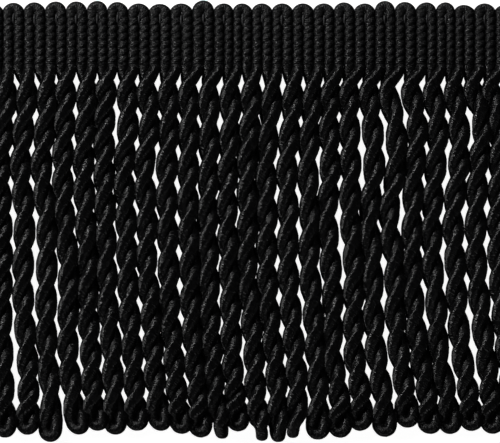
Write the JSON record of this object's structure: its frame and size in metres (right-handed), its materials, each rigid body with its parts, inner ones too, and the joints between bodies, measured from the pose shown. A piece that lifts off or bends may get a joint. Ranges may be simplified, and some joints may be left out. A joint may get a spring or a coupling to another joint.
{
  "type": "bullion fringe",
  "caption": "Cut length of black bullion fringe: a ribbed cord heading with a looped top edge, and a skirt of twisted cord strands.",
  "frame": {"origin": "under the middle of the outline, on the surface that the trim lies on", "axes": "+X along the trim, +Y to the looped top edge of the heading, strands towards -Y, +Z out of the face"},
  "size_m": [0.1278, 0.1038, 0.0053],
  "materials": {
    "heading_cord": "matt black yarn, ribbed and bound with fine cross threads",
    "skirt_cord": "black cord with a soft silky sheen, two cords twisted together"
  },
  "bodies": {
    "root": {"heading": "heading_cord", "skirt": "skirt_cord"}
  },
  "joints": []
}
